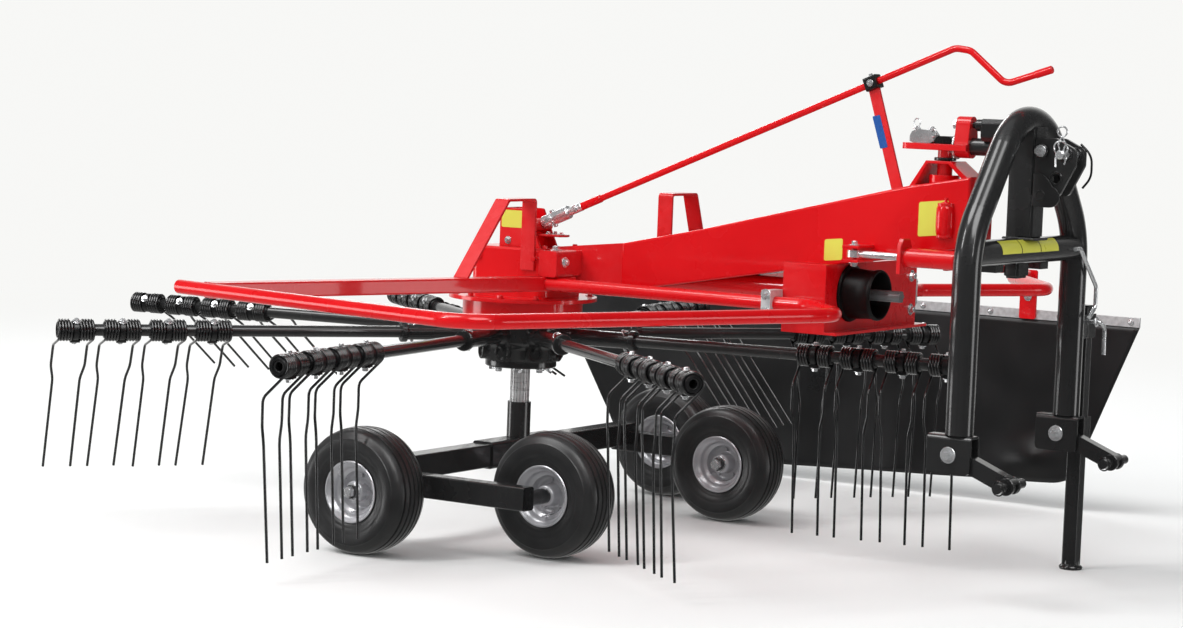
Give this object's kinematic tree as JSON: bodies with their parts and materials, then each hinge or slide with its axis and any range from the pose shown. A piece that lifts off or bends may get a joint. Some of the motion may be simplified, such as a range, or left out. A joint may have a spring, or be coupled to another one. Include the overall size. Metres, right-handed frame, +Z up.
{
  "type": "single-rotor rotary rake",
  "caption": "Mounted single-rotor hay rake: swivelling three-point headstock, wedge beam, cam rotor with spring-tine arms, four-wheel chassis, guards and a side curtain.",
  "frame": {"origin": "on the floor, below the middle of the machine's outline", "axes": "+X forward to the tractor, +Y left, +Z up"},
  "size_m": [3.3579, 3.0614, 1.5267],
  "materials": {
    "red_paint": "gloss traffic red powder coat",
    "black_paint": "satin black powder coat",
    "spring_steel": "black coated spring steel",
    "black_plastic": "moulded black plastic",
    "bare_steel": "turned bare steel",
    "zinc": "zinc plated",
    "rim_silver": "silver paint",
    "tyre": "black rubber",
    "curtain_sheet": "black rubberised sheet"
  },
  "bodies": {
    "frame": {"main_beam": "red_paint", "gear_housing": "red_paint", "drive_tube": "red_paint", "pto_housing": "red_paint", "pto_guard": "black_plastic", "pto_shaft": "bare_steel", "guard_sockets": "red_paint", "guard_right": "red_paint", "guard_arm_right": "red_paint", "guard_clip": "zinc", "guard_plate": "zinc", "guard_left": "red_paint", "curtain_arm": "red_paint", "curtain_hangers": "red_paint", "curtain_bar": "zinc", "curtain": "curtain_sheet", "rack_right": "red_paint", "rack_left": "red_paint", "crank_joint": "zinc", "crank_bracket": "red_paint", "crank_handle": "red_paint", "crank_clip": "black_plastic", "crank_strut": "red_paint", "column_sleeve": "black_paint", "splined_shaft": "bare_steel", "axle_beam": "black_paint", "wheel_arm_right": "black_paint", "wheel_arm_left": "black_paint", "damper_rear_lugs": "red_paint"},
    "rotor": {"rotor_hub": "black_paint", "arm_tubes": "black_paint", "tine_carriers": "spring_steel"},
    "headstock": {"headstock_loop": "black_paint", "crossbar": "black_paint", "centre_post": "black_paint", "swivel_pin": "red_paint", "swivel_yoke": "red_paint", "swivel_rods": "black_paint", "lower_yoke": "red_paint", "top_link_ears": "black_paint", "top_link_pin": "zinc", "hitch_brackets": "black_paint", "shaft_hook": "zinc", "stand_guides": "black_paint", "damper_front_lugs": "black_paint"},
    "lower_link_right": {"lower_link_right": "black_paint"},
    "lower_link_left": {"lower_link_left": "black_paint"},
    "stand": {"parking_stand": "black_paint"},
    "wheel_rear_right": {"tyre_rear_right": "tyre", "rim_rear_right": "rim_silver"},
    "wheel_rear_left": {"tyre_rear_left": "tyre", "rim_rear_left": "rim_silver"},
    "wheel_front_right": {"tyre_front_right": "tyre", "rim_front_right": "rim_silver"},
    "wheel_front_left": {"tyre_front_left": "tyre", "rim_front_left": "rim_silver"},
    "damper_rod_right": {"damper_rod_right": "zinc"},
    "damper_tube_right": {"damper_tube_right": "red_paint"},
    "damper_rod_left": {"damper_rod_left": "zinc"},
    "damper_tube_left": {"damper_tube_left": "red_paint"}
  },
  "joints": [
    {"name": "rotor_spin", "type": "hinge", "parent": "frame", "child": "rotor", "pos_m": [-0.19, 0, 0.594], "axis": [0, 0, 1], "continuous": true},
    {"name": "wheel_rear_right_spin", "type": "hinge", "parent": "frame", "child": "wheel_rear_right", "pos_m": [-0.149, -0.843, 0.185], "axis": [0, 1, 0], "continuous": true},
    {"name": "wheel_rear_left_spin", "type": "hinge", "parent": "frame", "child": "wheel_rear_left", "pos_m": [-0.149, 0.843, 0.185], "axis": [0, 1, 0], "continuous": true},
    {"name": "wheel_front_right_spin", "type": "hinge", "parent": "frame", "child": "wheel_front_right", "pos_m": [0.283, -0.501, 0.185], "axis": [0, 1, 0], "continuous": true},
    {"name": "wheel_front_left_spin", "type": "hinge", "parent": "frame", "child": "wheel_front_left", "pos_m": [0.283, 0.501, 0.185], "axis": [0, 1, 0], "continuous": true},
    {"name": "headstock_swivel", "type": "hinge", "parent": "frame", "child": "headstock", "pos_m": [1.246, 0, 1.07], "axis": [0, 0, 1], "range_deg": [-15, 15]},
    {"name": "lower_link_right_swing", "type": "hinge", "parent": "headstock", "child": "lower_link_right", "pos_m": [1.483, -0.358, 0.413], "axis": [0, -1, 0], "range_deg": [0, 34]},
    {"name": "lower_link_left_swing", "type": "hinge", "parent": "headstock", "child": "lower_link_left", "pos_m": [1.483, 0.358, 0.413], "axis": [0, -1, 0], "range_deg": [0, 34]},
    {"name": "stand_slide", "type": "slide", "parent": "headstock", "child": "stand", "axis": [0, 0, 1], "range_m": [0, 0.35]},
    {"name": "damper_right_swing", "type": "hinge", "parent": "frame", "child": "damper_rod_right", "pos_m": [1.047, -0.15, 0.925], "axis": [0, 0, 1], "range_deg": [-8, 8]},
    {"name": "damper_right_slide", "type": "slide", "parent": "damper_rod_right", "child": "damper_tube_right", "axis": [1, 0, 0], "range_m": [-0.042, 0.042]},
    {"name": "damper_left_swing", "type": "hinge", "parent": "frame", "child": "damper_rod_left", "pos_m": [1.047, 0.15, 0.925], "axis": [0, 0, 1], "range_deg": [-8, 8]},
    {"name": "damper_left_slide", "type": "slide", "parent": "damper_rod_left", "child": "damper_tube_left", "axis": [1, 0, 0], "range_m": [-0.042, 0.042]}
  ],
  "couplings": [
    {"joint": "damper_right_swing", "follows": "headstock_swivel", "ratio": 0.4801},
    {"joint": "damper_right_slide", "follows": "headstock_swivel", "m_per_rad": 0.1496},
    {"joint": "damper_left_swing", "follows": "headstock_swivel", "ratio": 0.4801},
    {"joint": "damper_left_slide", "follows": "headstock_swivel", "m_per_rad": -0.1496}
  ]
}
